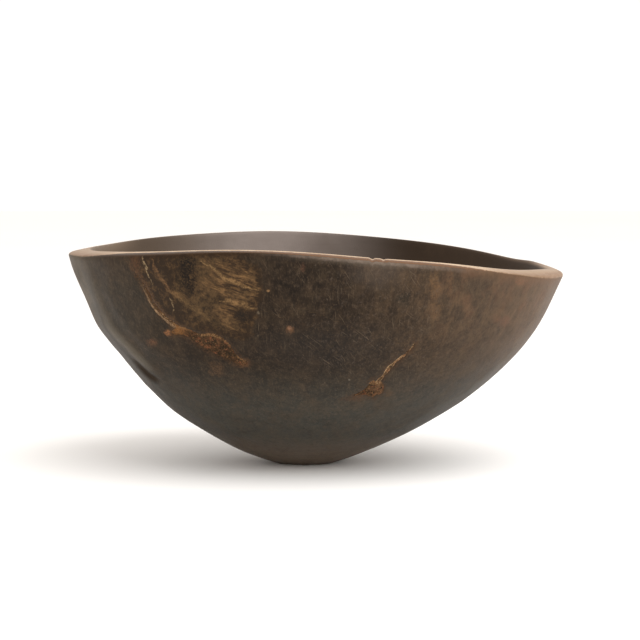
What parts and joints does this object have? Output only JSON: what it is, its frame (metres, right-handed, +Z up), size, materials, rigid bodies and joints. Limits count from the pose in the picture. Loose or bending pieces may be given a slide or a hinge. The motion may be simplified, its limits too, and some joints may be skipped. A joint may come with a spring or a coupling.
{
  "type": "carved wooden bowl",
  "caption": "Deep hand-hewn oval wooden bowl on a small flat foot, with a thick curved rim and bark-filled natural flaws in its front wall.",
  "frame": {"origin": "under the middle of the bowl, on the surface that it stands on", "axes": "+X along the bowl's length, to the right as seen from the front; +Y to the back; +Z up"},
  "size_m": [0.3489, 0.3238, 0.1583],
  "materials": {
    "carved_wood": "dark, oiled and hand-worn, satin",
    "seam_gum": "pale dried gum and dust, matt",
    "bark": "crusty, orange brown, matt"
  },
  "bodies": {
    "root": {"bowl": "carved_wood", "left_seam_fill": "seam_gum", "left_bark_pocket": "bark", "right_seam_fill": "seam_gum", "right_bark_pocket": "bark"}
  },
  "joints": []
}
